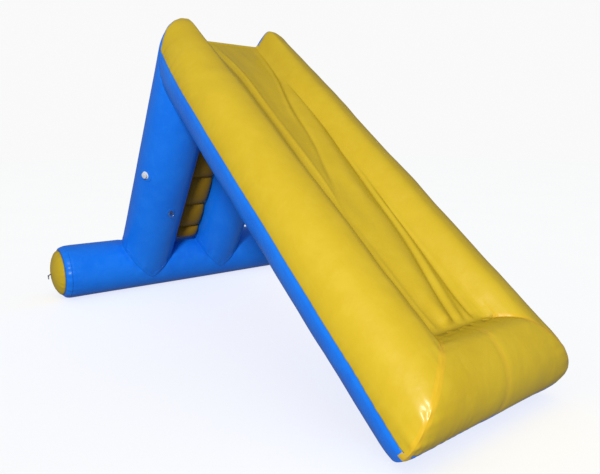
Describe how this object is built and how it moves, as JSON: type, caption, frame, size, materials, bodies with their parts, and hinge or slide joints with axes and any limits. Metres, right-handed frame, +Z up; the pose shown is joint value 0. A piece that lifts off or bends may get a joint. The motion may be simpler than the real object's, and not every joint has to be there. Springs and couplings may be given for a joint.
{
  "type": "inflatable pool slide",
  "caption": "Free-standing inflatable water slide: sloping bed with raised side rails and a front bumper, mitred legs, a transverse base tube and a climbing pad.",
  "frame": {"origin": "on the ground, under the centre of the box that holds the slide", "axes": "+Y from the bumper (exit) towards the base tube (climbing side), +Z up, +X across to the right of a person who faces the exit from the water, that is, looks along +Y"},
  "size_m": [2.6236, 4.163, 2.4471],
  "materials": {
    "yellow_pvc": "satin",
    "blue_pvc": "satin",
    "inner_fabric": "matte",
    "navy_webbing": "matte",
    "dark_plastic": "satin",
    "valve_plastic": "satin",
    "stainless_steel": "polished",
    "seal_rubber": "matte"
  },
  "bodies": {
    "slide": {"base_end_cap_left": "yellow_pvc", "base_end_cap_right": "yellow_pvc", "base_tube": "blue_pvc", "bumper_lower_skin_left": "blue_pvc", "bumper_lower_skin_right": "blue_pvc", "bumper_middle_tape": "yellow_pvc", "bumper_top_skin_left": "yellow_pvc", "bumper_top_skin_right": "yellow_pvc", "bumper_web": "inner_fabric", "cap_ring_patch_left": "blue_pvc", "cap_ring_patch_right": "blue_pvc", "cap_ring_webbing_left": "navy_webbing", "cap_ring_webbing_right": "navy_webbing", "climbing_pad_front": "yellow_pvc", "climbing_pad_rear": "yellow_pvc", "corner_patch_left": "yellow_pvc", "corner_patch_right": "yellow_pvc", "elbow_tape_left": "blue_pvc", "elbow_tape_right": "blue_pvc", "end_band_left": "blue_pvc", "end_band_right": "blue_pvc", "floor_end_panel": "blue_pvc", "floor_underside": "blue_pvc", "floor_web_left": "inner_fabric", "floor_web_right": "inner_fabric", "leg_collar_left": "blue_pvc", "leg_collar_right": "blue_pvc", "leg_left": "blue_pvc", "leg_right": "blue_pvc", "leg_ring_patch_left": "blue_pvc", "leg_ring_patch_right": "blue_pvc", "leg_ring_webbing_left": "navy_webbing", "leg_ring_webbing_right": "navy_webbing", "mitre_tape_left": "yellow_pvc", "mitre_tape_right": "yellow_pvc", "rail_lower_skin_left": "blue_pvc", "rail_lower_skin_right": "blue_pvc", "rail_top_skin_left": "yellow_pvc", "rail_top_skin_right": "yellow_pvc", "rail_web_left": "inner_fabric", "rail_web_right": "inner_fabric", "side_seam_tape_left": "blue_pvc", "side_seam_tape_right": "blue_pvc", "sliding_floor": "yellow_pvc", "valve_body": "valve_plastic", "valve_clamp_ring": "valve_plastic", "valve_guide": "valve_plastic", "valve_patch": "blue_pvc", "valve_seal": "seal_rubber", "valve_spring": "stainless_steel"},
    "cap_ring_left_body": {"cap_ring_left": "dark_plastic"},
    "cap_ring_right_body": {"cap_ring_right": "dark_plastic"},
    "leg_ring_left_body": {"leg_ring_left": "stainless_steel"},
    "leg_ring_right_body": {"leg_ring_right": "stainless_steel"},
    "valve_cap_body": {"valve_cap": "valve_plastic"},
    "valve_plunger_body": {"valve_plunger": "valve_plastic"}
  },
  "joints": [
    {"name": "valve_cap_lift", "type": "slide", "parent": "slide", "child": "valve_cap_body", "axis": [-0.9013, -0.3594, -0.2419], "range_m": [0, 0.04]},
    {"name": "valve_plunger_press", "type": "slide", "parent": "slide", "child": "valve_plunger_body", "axis": [0.9013, 0.3594, 0.2419], "range_m": [0, 0.004], "stiffness_N_per_m": 300, "springref_m": -0.001, "deforming": ["valve_spring"]},
    {"name": "leg_ring_left_swing", "type": "hinge", "parent": "slide", "child": "leg_ring_left_body", "pos_m": [-0.36804, 1.13025, 0.83008], "axis": [-0.9973, -0.0608, -0.0409], "range_deg": [-30, 120]},
    {"name": "cap_ring_left_swing", "type": "hinge", "parent": "slide", "child": "cap_ring_left_body", "pos_m": [-1.30684, 1.83308, 0.23221], "axis": [0, 1, 0], "range_deg": [-45, 120]},
    {"name": "leg_ring_right_swing", "type": "hinge", "parent": "slide", "child": "leg_ring_right_body", "pos_m": [0.36804, 1.13025, 0.83008], "axis": [-0.9973, 0.0608, 0.0409], "range_deg": [-30, 120]},
    {"name": "cap_ring_right_swing", "type": "hinge", "parent": "slide", "child": "cap_ring_right_body", "pos_m": [1.30684, 1.83308, 0.23221], "axis": [0, -1, 0], "range_deg": [-45, 120]}
  ]
}
